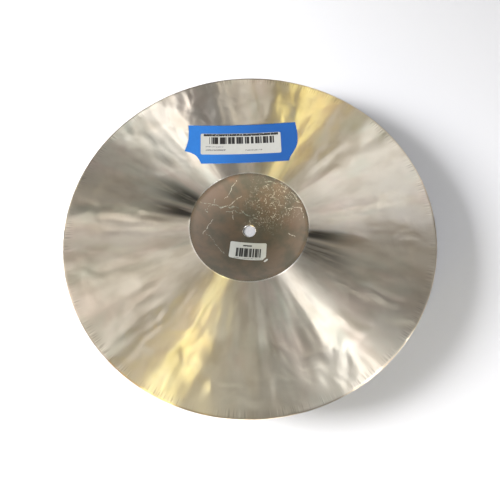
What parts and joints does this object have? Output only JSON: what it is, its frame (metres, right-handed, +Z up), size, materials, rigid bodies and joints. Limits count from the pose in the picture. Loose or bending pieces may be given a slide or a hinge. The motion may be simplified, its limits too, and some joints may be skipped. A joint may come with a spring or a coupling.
{
  "type": "crash cymbal",
  "caption": "Thin hand-hammered bronze crash cymbal with a raw bell and centre hole, with a strip of blue masking tape and paper stock labels on its underside.",
  "frame": {"origin": "centre of the hole, on the flat under the bell where the lower felt washer bears", "axes": "+Z up the cymbal's axis, out of the top of the bell; -Y towards the strip of tape on the underside; +X to the right as seen from -Y"},
  "size_m": [0.3556, 0.3556, 0.0371],
  "materials": {
    "lathed_bronze": "lathed and hammered, unpolished, raw in the bell",
    "blue_masking_tape": "satin crepe paper tape",
    "label_paper": "matt coated paper"
  },
  "bodies": {
    "root": {"cymbal": "lathed_bronze", "masking_tape": "blue_masking_tape", "tape_label": "label_paper", "bell_label": "label_paper", "label_scrap": "label_paper"}
  },
  "joints": []
}
